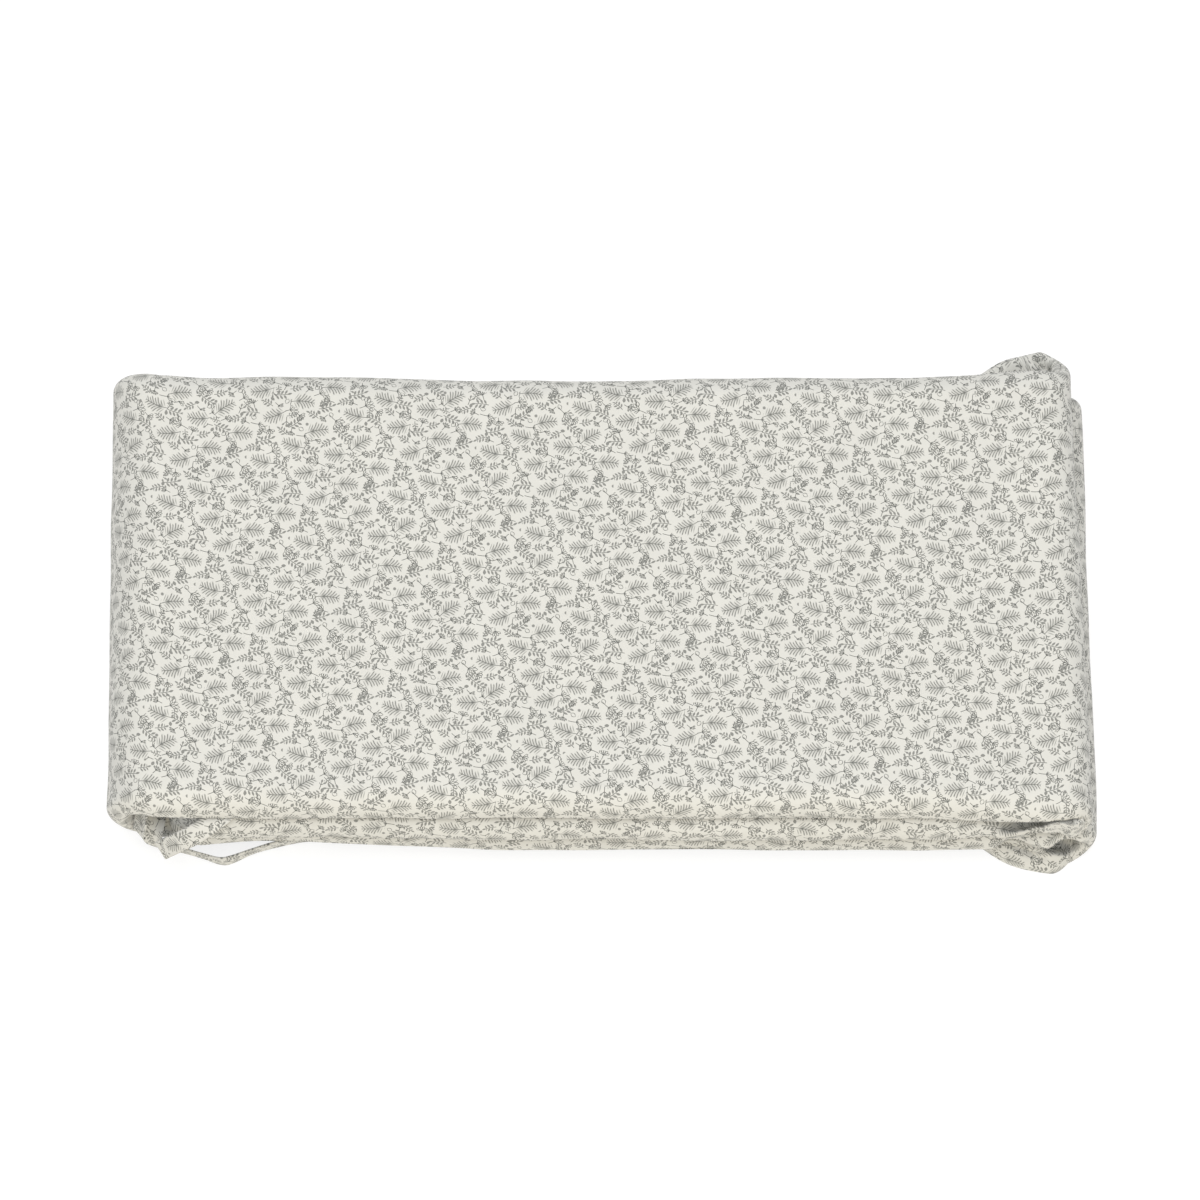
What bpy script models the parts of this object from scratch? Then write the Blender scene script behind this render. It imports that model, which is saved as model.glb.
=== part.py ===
"""Crib bumper folded in four for storage, lying on a table, built in metres with +Z up.

The bumper is one padded strip. Its two ends are folded in to the middle, and the whole is then folded in
half. That gives four layers: two folds lie on the right, one large fold wraps the left side, and both loose
ends lie inside that large fold. Cloth is squeezed out into an ear behind the upper right fold, and into one
in front of the lower. Sewn ties come out at the front of the large fold.

The padded strip is a loft of cross-sections along its folded path. A tie is a narrow tape, a ruled surface
with a Solidify modifier.
"""

import math
from typing import NamedTuple

import bmesh
import bpy
from mathutils import Matrix, Vector

# ---- driving sizes, metres -------------------------------------------------------------------------------
STACK_WIDTH = 0.6035         # across the folded stack, fold to fold
PAD_THICKNESS = 0.0190       # of the filling and its two panels
LAYER_GAP = 0.0018           # air between two layers
SEAM_THICKNESS = 0.0012      # of the sewn edge, where the two panels meet
EDGE_ROUND = 0.016           # how far in from the seam the pad reaches its full thickness
EDGE_SAG = 0.85              # of the seam, as a share of half the pad's thickness
SAG_DRAWN_IN = 0.30          # a seam is drawn in by this share of its sag
FOLD_ROUND = 0.007           # the same at the outside of a fold
END_CORNER_ROUND = 0.022     # plan radius at the corners of the loose ends
TIE_WIDTH = 0.0125
TIE_THICKNESS = 0.0012

# ---- folds -----------------------------------------------------------------------------------------------
LEFT_FOLD_REACH = 0.030      # of the big fold's outside, past the point where its layers start to turn
LEFT_FOLD_THICKNESS = 0.015
LEFT_TAPER = 0.030           # the layers thin over this length towards the big fold
LEFT_SEAM_DRAWN_IN = (0.0040, -0.0045)     # of the front and back seams, where they go round the big fold
HIGH_SEAM_DRAWN_IN = (0.0040, 0.0040)  # and round the upper right fold
LOW_SEAM_DRAWN_IN = (0.0060, 0.0)      # and round the lower
RIGHT_FOLD_REACH = 0.0175
RIGHT_FOLD_THICKNESS = 0.010
RIGHT_TAPER = 0.060
LOOSE_END_INSET = 0.037      # of the loose ends from the big fold's outside

# ---- derived ---------------------------------------------------------------------------------------------
PITCH = PAD_THICKNESS + LAYER_GAP
LEFT_EDGE = -STACK_WIDTH / 2
RIGHT_EDGE = STACK_WIDTH / 2
LEFT_TURN = LEFT_EDGE + LEFT_FOLD_REACH
RIGHT_TURN = RIGHT_EDGE - RIGHT_FOLD_REACH
LOOSE_END = LEFT_EDGE + LOOSE_END_INSET
BOX_CENTRE = Vector((0.0011, 0.0063, 0.0))   # of the finished bumper, which is then set over the origin

# ---- mesh density ----------------------------------------------------------------------------------------
EDGE_STEPS = 6               # columns over each rounded edge
MIDDLE_STEPS = 5             # columns over the flat middle
LAYER_STEPS = 26             # sections along a layer, closer together towards its ends
FOLD_STEPS = 12
TIE_STEPS = 7                # sections between two rows of a tie's table
TIE_COLUMNS = 4


class Layer(NamedTuple):
    """One of the four layers: its rank from the table, and the lines of its front and back seams."""

    rank: int
    front: float
    back: float
    folds_up: bool           # at the right, this layer turns up into the one above
    front_set: float         # how far its right fold stands out past the edge, at the front seam
    back_set: float          # and at the back seam


class Swell(NamedTuple):
    """A place where a seam stands out from its straight line, or draws in."""

    layer: str
    side: str
    centre: float
    left_reach: float
    right_reach: float
    amount: float


class Pinch(NamedTuple):
    """A place where a layer's front edge is lifted towards the layer above."""

    layer: str
    centre: float
    reach: float
    depth: float             # how far behind the seam it dies out
    lift: float


class Station(NamedTuple):
    """A cross-section of the padded strip, on its path in the XZ plane."""

    x: float
    z: float
    along: Vector            # the path's direction
    thickness: float
    front: float
    back: float
    front_set: float
    back_set: float
    lift: float
    lift_depth: float
    end_fill: float          # the share of the thickness that a loose end keeps here
    edge_round: float


class TiePoint(NamedTuple):
    """A row of a tie's table: a point on its middle line, which way its width runs, and its sag."""

    x: float
    y: float
    z: float
    width_x: float
    width_y: float
    width_z: float
    arch: float              # how far both its edges hang below its middle


LAYERS = {
    "top": Layer(3, -0.1420, 0.1460, False, -0.0015, -0.0125),
    "upper": Layer(2, -0.1495, 0.1385, True, -0.0015, -0.0125),
    "lower": Layer(1, -0.1495, 0.1385, False, 0.0025, -0.0040),
    "bottom": Layer(0, -0.1335, 0.1425, True, 0.0025, -0.0040),
}
SWELLS = (
    Swell("top", "back", -0.010, 0.200, 0.200, -0.0025),
    Swell("top", "back", 0.274, 0.060, 0.040, 0.0010),
    Swell("top", "front", 0.275, 0.090, 0.040, -0.0030),
    Swell("upper", "back", 0.2900, 0.088, 0.060, 0.0310),
    Swell("upper", "back", 0.2600, 0.018, 0.020, 0.0020),
    Swell("upper", "front", -0.180, 0.100, 0.140, 0.0020),
    Swell("lower", "front", -0.212, 0.072, 0.170, 0.0055),
    Swell("lower", "front", 0.249, 0.014, 0.022, 0.0070),
    Swell("lower", "front", 0.270, 0.040, 0.022, -0.0020),
    Swell("lower", "back", 0.290, 0.050, 0.030, 0.0075),
    Swell("bottom", "front", -0.272, 0.055, 0.035, -0.0012),
    Swell("bottom", "front", -0.180, 0.060, 0.080, 0.0020),
    Swell("bottom", "front", 0.240, 0.040, 0.030, -0.0065),
    Swell("bottom", "front", 0.274, 0.055, 0.030, -0.0235),
    Swell("bottom", "back", 0.290, 0.050, 0.030, 0.0035),
)
PINCHES = (
    Pinch("upper", 0.286, 0.022, 0.040, 0.0075),
)

TIES = {
    "tie_hanging": (
        TiePoint(-0.2657, -0.1190, 0.0511, 0.00, 1.00, 0.00, 0.0000),
        TiePoint(-0.2715, -0.1195, 0.0520, -0.03, 1.00, 0.00, 0.0000),
        TiePoint(-0.2765, -0.1215, 0.0515, -0.20, 0.95, -0.10, 0.0003),
        TiePoint(-0.2793, -0.1270, 0.0470, -0.40, 0.85, -0.25, 0.0005),
        TiePoint(-0.2810, -0.1340, 0.0385, -0.52, 0.76, -0.38, 0.0005),
        TiePoint(-0.2823, -0.1395, 0.0305, -0.54, 0.74, -0.40, 0.0003),
    ),
    "tie_free": (
        TiePoint(-0.1900, -0.1080, 0.06147, 0.45, -0.88, 0.00, 0.0000),
        TiePoint(-0.2150, -0.1230, 0.06147, 0.45, -0.88, 0.00, 0.0000),
        TiePoint(-0.2306, -0.1365, 0.0615, 0.42, -0.90, -0.02, 0.0002),
        TiePoint(-0.2405, -0.1436, 0.0593, 0.36, -0.82, -0.38, 0.0012),
        TiePoint(-0.2500, -0.1484, 0.0540, 0.34, -0.74, -0.55, 0.0012),
        TiePoint(-0.2595, -0.1500, 0.0450, 0.40, -0.74, -0.52, 0.0006),
        TiePoint(-0.2694, -0.1500, 0.0300, 0.46, -0.76, -0.45, 0.0002),
    ),
    "tie_looped": (
        TiePoint(-0.2715, -0.1120, 0.0303, -1.00, 0.00, 0.00, 0.0000),
        TiePoint(-0.2717, -0.1220, 0.0318, -1.00, 0.00, 0.05, 0.0003),
        TiePoint(-0.2726, -0.1305, 0.0300, -0.92, 0.25, -0.25, 0.0005),
        TiePoint(-0.2740, -0.1360, 0.0245, -0.84, 0.25, -0.45, 0.0005),
        TiePoint(-0.2745, -0.1392, 0.0175, -0.84, 0.10, -0.50, 0.0003),
        TiePoint(-0.2708, -0.1400, 0.0115, -0.62, 0.05, -0.78, 0.0000),
        TiePoint(-0.2625, -0.1412, 0.0076, -0.22, 0.05, -0.97, 0.0000),
        TiePoint(-0.2540, -0.1432, 0.0067, 0.00, 0.08, -0.98, 0.0003),
        TiePoint(-0.2430, -0.1462, 0.0066, 0.00, 0.08, -0.98, 0.0006),
        TiePoint(-0.2337, -0.1492, 0.0066, 0.00, 0.00, -0.99, 0.0004),
        TiePoint(-0.2270, -0.1492, 0.0066, 0.00, -0.05, -0.99, -0.0004),
        TiePoint(-0.2137, -0.1440, 0.0066, 0.00, 0.08, -0.98, -0.0006),
        TiePoint(-0.2010, -0.1398, 0.0066, 0.00, 0.05, -0.98, -0.0004),
        TiePoint(-0.1851, -0.1355, 0.0066, 0.00, 0.00, -1.00, 0.0000),
        TiePoint(-0.1700, -0.1340, 0.0066, 0.00, 0.00, -1.00, 0.0000),
    ),
}

COTTON_COLOUR = (0.70, 0.69, 0.64, 1.0)
COTTON_ROUGHNESS = 0.9


def ease(share):
    """A smooth step from 0 to 1."""
    share = min(1.0, max(0.0, share))
    return share * share * (3 - 2 * share)


def mix(first, second, share):
    """The value that lies a share of the way from first to second."""
    return first + (second - first) * share


def seam_line(name, side, x):
    """Y of a layer's front or back seam at x."""
    line = getattr(LAYERS[name], side)
    for swell in SWELLS:
        if (swell.layer, swell.side) == (name, side):
            reach = swell.left_reach if x < swell.centre else swell.right_reach
            line += swell.amount * ease(1 - abs(x - swell.centre) / reach)
    return line


def layer_station(name, x):
    """The cross-section of a layer at x, between its two turns."""
    layer = LAYERS[name]
    loose = name in ("upper", "lower")
    thinned = ease(1 - (RIGHT_TURN - x) / RIGHT_TAPER) * (PAD_THICKNESS - RIGHT_FOLD_THICKNESS)
    if not loose:
        thinned += ease(1 - (x - LEFT_TURN) / LEFT_TAPER) * (PAD_THICKNESS - LEFT_FOLD_THICKNESS)
    end_distance = x - LOOSE_END if loose else END_CORNER_ROUND
    corner = max(0.0, END_CORNER_ROUND - end_distance)
    inset = END_CORNER_ROUND - math.sqrt(END_CORNER_ROUND ** 2 - corner ** 2)
    unfilled = max(0.0, 1 - end_distance / EDGE_ROUND)
    share = ease((x - LEFT_TURN) / (RIGHT_TURN - LEFT_TURN))
    pinch = next((p for p in PINCHES if p.layer == name), None)
    return Station(
        x=x,
        z=layer.rank * PITCH + PAD_THICKNESS / 2 + (-thinned if layer.folds_up else thinned) / 2,
        along=Vector((1, 0, 0)) if layer.folds_up else Vector((-1, 0, 0)),
        thickness=PAD_THICKNESS - thinned,
        front=seam_line(name, "front", x) + inset,
        back=seam_line(name, "back", x) - inset,
        front_set=share * layer.front_set,
        back_set=share * layer.back_set,
        lift=pinch.lift * ease(1 - abs(x - pinch.centre) / pinch.reach) if pinch else 0.0,
        lift_depth=pinch.depth if pinch else EDGE_ROUND,
        end_fill=math.sqrt(1 - unfilled ** 2),
        edge_round=EDGE_ROUND,
    )


def layer_stations(name):
    """The cross-sections of a layer from left to right, closer together towards both ends."""
    left = LOOSE_END if name in ("upper", "lower") else LEFT_TURN
    shares = [(1 - math.cos(math.pi * step / LAYER_STEPS)) / 2 for step in range(LAYER_STEPS + 1)]
    return [layer_station(name, mix(left, RIGHT_TURN, share)) for share in shares]


def fold_stations(start, finish, reach, drawn_in):
    """The cross-sections round a fold, from the layer section it leaves to the one it joins.

    The path is half an ellipse. Its reach is positive to the right and negative to the left. The front and
    back seams draw in by the two amounts of drawn_in on the way round.
    """
    half_rise = (finish.z - start.z) / 2
    half_width = reach - math.copysign(start.thickness / 2, reach)
    stations = []
    for step in range(1, FOLD_STEPS):
        angle = math.pi * step / FOLD_STEPS
        share = ease(step / FOLD_STEPS)
        along = Vector((half_width * math.cos(angle), 0, half_rise * math.sin(angle)))
        stations.append(
            start._replace(
                x=start.x + half_width * math.sin(angle),
                z=start.z + half_rise * (1 - math.cos(angle)),
                along=along.normalized(),
                front=mix(start.front, finish.front, share) + drawn_in[0] * math.sin(angle),
                back=mix(start.back, finish.back, share) - drawn_in[1] * math.sin(angle),
                edge_round=mix(EDGE_ROUND, FOLD_ROUND, math.sin(angle)),
                front_set=mix(start.front_set, finish.front_set, share),
                back_set=mix(start.back_set, finish.back_set, share),
                lift=mix(start.lift, finish.lift, share),
            )
        )
    return stations


def section_columns():
    """The columns of a cross-section from front to back: distance from the nearest seam, and its side.

    Each column is (distance in edge rounds, share of the middle, share of the half thickness).
    """
    angles = [math.pi / 2 * step / EDGE_STEPS for step in range(EDGE_STEPS + 1)]
    front = [(1 - math.cos(angle), 0.0, math.sin(angle)) for angle in angles]
    middle = [(1.0, step / MIDDLE_STEPS, 1.0) for step in range(1, MIDDLE_STEPS)]
    back = [(distance, 1.0, fill) for distance, _, fill in reversed(front)]
    return front + middle + back


def section_ring(station, columns):
    """The points of a closed cross-section: over its left side from front to back, then back again."""
    normal = Vector((-station.along.z, 0, station.along.x))
    sag = EDGE_SAG * station.thickness / 2
    front, back = station.front + SAG_DRAWN_IN * sag, station.back - SAG_DRAWN_IN * sag
    near, far = [], []
    for distance, middle_share, fill in columns:
        from_front = front + distance * station.edge_round
        from_back = back - distance * station.edge_round
        y = mix(from_front, from_back, middle_share)
        across = (y - front) / (back - front)
        lift = station.lift * ease(1 - (y - front) / station.lift_depth)
        lift -= sag * (1 - fill)
        full = station.thickness / 2 * fill * station.end_fill
        half = max(SEAM_THICKNESS / 2, full)
        place = Vector((station.x + mix(station.front_set, station.back_set, across), y, station.z + lift))
        near.append(place + normal * half)
        far.append(place - normal * half)
    return near + far[::-1]


def loft(name, rings):
    """One closed body through the rings, its ends closed by a strip between their two sides."""
    mesh_data = bmesh.new()
    rows = [[mesh_data.verts.new(point) for point in ring] for ring in rings]
    count = len(rows[0])
    for row, following in zip(rows, rows[1:]):
        for index in range(count):
            beside = (index + 1) % count
            mesh_data.faces.new((row[index], row[beside], following[beside], following[index]))
    for row in (rows[0], rows[-1]):
        for index in range(count // 2 - 1):
            mesh_data.faces.new((row[index], row[index + 1], row[-2 - index], row[-1 - index]))
    bmesh.ops.recalc_face_normals(mesh_data, faces=mesh_data.faces)
    mesh = bpy.data.meshes.new(name)
    mesh_data.to_mesh(mesh)
    mesh_data.free()
    return bpy.data.objects.new(name, mesh)


def make_padded_strip():
    """The whole padded strip, from the loose end in the upper layer to the one in the lower layer."""
    upper = layer_stations("upper")
    top = layer_stations("top")[::-1]
    bottom = layer_stations("bottom")
    lower = layer_stations("lower")[::-1]
    stations = upper + fold_stations(upper[-1], top[0], RIGHT_FOLD_REACH, HIGH_SEAM_DRAWN_IN) + top
    stations += fold_stations(top[-1], bottom[0], -LEFT_FOLD_REACH, LEFT_SEAM_DRAWN_IN) + bottom
    stations += fold_stations(bottom[-1], lower[0], RIGHT_FOLD_REACH, LOW_SEAM_DRAWN_IN) + lower
    columns = section_columns()
    return loft("padded_strip", [section_ring(station, columns) for station in stations])


def curve_between(rows, index, share):
    """A point of the smooth curve through the rows, a share of the way from one row to the next."""
    before, start, finish, after = (
        Vector(rows[min(len(rows) - 1, max(0, index + step))]) for step in (-1, 0, 1, 2)
    )
    leave = (finish - before) / 2
    arrive = (after - start) / 2
    square, cube = share ** 2, share ** 3
    return (
        start * (2 * cube - 3 * square + 1)
        + leave * (cube - 2 * square + share)
        + finish * (3 * square - 2 * cube)
        + arrive * (cube - square)
    )


def make_tie(name, rows):
    """A flat tape along its table's points, each cross-section square to the way it runs."""
    steps = (len(rows) - 1) * TIE_STEPS
    places = [curve_between(rows, step // TIE_STEPS, step % TIE_STEPS / TIE_STEPS) for step in range(steps)]
    places.append(Vector(rows[-1]))
    mesh_data = bmesh.new()
    lines = []
    for index, place in enumerate(places):
        middle = Vector(place[:3])
        behind = Vector(places[max(0, index - 1)][:3])
        ahead = Vector(places[min(steps, index + 1)][:3])
        along = (ahead - behind).normalized()
        width = Vector(place[3:6])
        width = (width - along * width.dot(along)).normalized()
        out = width.cross(along)
        shares = [2 * column / TIE_COLUMNS - 1 for column in range(TIE_COLUMNS + 1)]
        points = [middle + width * (u * TIE_WIDTH / 2) + out * (place[6] * u * u) for u in shares]
        lines.append([mesh_data.verts.new(point) for point in points])
    for line, following in zip(lines, lines[1:]):
        for column in range(TIE_COLUMNS):
            corners = (line[column], line[column + 1], following[column + 1], following[column])
            mesh_data.faces.new(corners)
    mesh = bpy.data.meshes.new(name)
    mesh_data.to_mesh(mesh)
    mesh_data.free()
    tie = bpy.data.objects.new(name, mesh)
    thickness = tie.modifiers.new("tape_thickness", "SOLIDIFY")
    thickness.thickness = TIE_THICKNESS
    thickness.offset = 0.0
    thickness.use_even_offset = True
    return tie


def cotton(name):
    """A material in the cotton's colour."""
    material = bpy.data.materials.new(name)
    material.use_nodes = True
    shader = material.node_tree.nodes["Principled BSDF"]
    shader.inputs["Base Color"].default_value = COTTON_COLOUR
    shader.inputs["Roughness"].default_value = COTTON_ROUGHNESS
    shader.inputs["Metallic"].default_value = 0.0
    return material


def main():
    """Clear the scene and make the bumper in a collection of its own."""
    for obj in list(bpy.data.objects):
        bpy.data.objects.remove(obj, do_unlink=True)
    collection = bpy.data.collections.new("crib_bumper")
    bpy.context.scene.collection.children.link(collection)
    parts = [make_padded_strip()]
    parts += [make_tie(name, rows) for name, rows in TIES.items()]
    for part in parts:
        part.data.transform(Matrix.Translation(-BOX_CENTRE))
        part.data.shade_smooth()
        part.data.materials.append(cotton(part.name + "_cotton"))
        collection.objects.link(part)


main()
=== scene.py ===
"""Looks of the folded crib bumper: its padded strip, sewn ties, printed cotton, light and camera.

The bumper is one padded strip of printed cotton, folded in four. The cotton wraps round its front edge and is
seamed along its back edge. Two folds lie on the right, one large fold wraps the left side, and the loose ends
with their ties lie inside that large fold. Everything is in metres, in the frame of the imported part.
"""

import logging
import math
from dataclasses import dataclass, field
from enum import Enum
from typing import NamedTuple, Sequence

import bmesh
import bpy
import numpy as np
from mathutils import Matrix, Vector


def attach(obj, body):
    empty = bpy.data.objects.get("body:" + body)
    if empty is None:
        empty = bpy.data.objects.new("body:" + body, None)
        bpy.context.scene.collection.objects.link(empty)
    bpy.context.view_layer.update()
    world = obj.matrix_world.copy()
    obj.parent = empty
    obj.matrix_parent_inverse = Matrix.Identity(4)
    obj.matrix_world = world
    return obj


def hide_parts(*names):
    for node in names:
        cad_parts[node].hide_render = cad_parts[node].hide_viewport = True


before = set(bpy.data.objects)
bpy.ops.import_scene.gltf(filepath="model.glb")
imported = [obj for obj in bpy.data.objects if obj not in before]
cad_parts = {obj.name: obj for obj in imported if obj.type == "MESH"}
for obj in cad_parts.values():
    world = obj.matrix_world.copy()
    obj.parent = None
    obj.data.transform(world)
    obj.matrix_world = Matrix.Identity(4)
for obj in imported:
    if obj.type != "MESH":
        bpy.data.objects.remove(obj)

LOG = logging.getLogger("crib_bumper")
BODY = "root"
BOX_CENTRE = Vector((0.0011, 0.0063, 0.0))   # of the finished bumper, which is set over the origin
CLOTH_MAP = "cloth"      # the UV map that holds each point's place on the flat cloth, in metres
METRES_TO_MILLIMETRES = 1000.0
WHITE = (1.0, 1.0, 1.0, 1.0)

Socket = bpy.types.NodeSocket


def ease(share: float) -> float:
    """Return a smooth step from 0 to 1."""
    share = min(1.0, max(0.0, share))
    return share * share * (3 - 2 * share)


def ease_all(shares: np.ndarray) -> np.ndarray:
    """Return the smooth step of every number in an array."""
    shares = np.clip(shares, 0.0, 1.0)
    return shares * shares * (3 - 2 * shares)


def mix(first: float, second: float, share: float) -> float:
    """Return the value that lies a share of the way from first to second."""
    return first + (second - first) * share


# ---- materials --------------------------------------------------------------------------------------------


class Graph:
    """Shorthand for a material's nodes: each method adds one node and returns its output."""

    def __init__(self, tree: bpy.types.NodeTree) -> None:
        """Start with an existing node tree.

        Args:
            tree: The tree that new nodes go into.
        """
        self.tree = tree

    def put(self, kind: str, values: Sequence = (), **settings) -> bpy.types.Node:
        """Add a node.

        Args:
            kind: The node's type, without its ShaderNode prefix.
            values: For each input in turn a socket to link, a value to set, or None to leave it.
            settings: The node's own properties.

        Returns:
            The new node.
        """
        node = self.tree.nodes.new("ShaderNode" + kind)
        for name, setting in settings.items():
            setattr(node, name, setting)
        for socket, value in zip(node.inputs, values):
            if isinstance(value, Socket):
                self.tree.links.new(value, socket)
            elif value is not None:
                socket.default_value = value
        return node

    def math(self, operation: str, *values) -> Socket:
        """Return the output of a Math node."""
        return self.put("Math", values, operation=operation).outputs[0]

    def vector(self, operation: str, *values) -> Socket:
        """Return the vector output of a Vector Math node."""
        return self.put("VectorMath", values, operation=operation).outputs[0]

    def length(self, x: Socket | float, y: Socket | float) -> Socket:
        """Return the length of the vector (x, y)."""
        joined = self.put("CombineXYZ", (x, y)).outputs[0]
        return self.put("VectorMath", (joined,), operation="LENGTH").outputs["Value"]

    def split(self, vector: Socket) -> tuple[Socket, Socket]:
        """Return the x and y of a vector."""
        parts = self.put("SeparateXYZ", (vector,)).outputs
        return parts[0], parts[1]

    def turn(self, x: Socket, y: Socket, angle: Socket | float) -> tuple[Socket, Socket]:
        """Return a place turned about the origin.

        Args:
            x: Its x.
            y: Its y.
            angle: In radians.

        Returns:
            Its new x and y.
        """
        joined = self.put("CombineXYZ", (x, y)).outputs[0]
        turned = self.put("VectorRotate", (joined, None, None, angle), rotation_type="Z_AXIS")
        return self.split(turned.outputs[0])

    def step(self, value: Socket, at: float, soft: float, full: float = 1.0) -> Socket:
        """Return a full amount where the value is under a limit and 0 over it, with a soft edge."""
        values = (value, at - soft / 2, at + soft / 2, full, 0.0)
        return self.put("MapRange", values, interpolation_type="SMOOTHSTEP").outputs[0]

    def between(self, value: Socket, low: float, high: float, soft: float) -> Socket:
        """Return 1 where the value lies between two limits, with soft edges."""
        middle = self.math("SUBTRACT", value, (low + high) / 2)
        return self.step(self.math("ABSOLUTE", middle), (high - low) / 2, soft)

    def most(self, *values: Socket) -> Socket:
        """Return the largest of several values.

        Args:
            values: The values, one or more.
        """
        result = values[0]
        for value in values[1:]:
            result = self.math("MAXIMUM", result, value)
        return result


class Spot(NamedTuple):
    """Where a motif stands in each cell of the print, and how freely chance moves and turns it."""

    x: float                 # as a share of the cell
    y: float
    seed: float              # makes its chance numbers its own
    shift: float             # millimetres
    tilt: float              # radians


SPOTS = {
    "fern": Spot(0.50, 0.50, 3.0, 1.4, 0.55),
    "long_sprig": Spot(0.00, 0.00, 11.0, 1.0, 0.7),
    "fan": Spot(0.00, 0.50, 23.0, 0.7, 0.8),
    "twig": Spot(0.50, 0.00, 37.0, 0.7, 0.8),
    "berries": Spot(0.22, 0.22, 41.0, 1.0, 3.0),
    "dot": Spot(0.78, 0.76, 53.0, 1.2, 3.0),
    "small_fan": Spot(0.24, 0.80, 67.0, 0.8, 3.0),
    "flower": Spot(0.80, 0.20, 71.0, 1.0, 3.0),
    "seed_head": Spot(0.98, 0.75, 83.0, 0.8, 3.0),
    "bud": Spot(0.26, 0.03, 89.0, 0.8, 3.0),
    "shoot": Spot(0.02, 0.25, 97.0, 0.8, 3.0),
}


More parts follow.
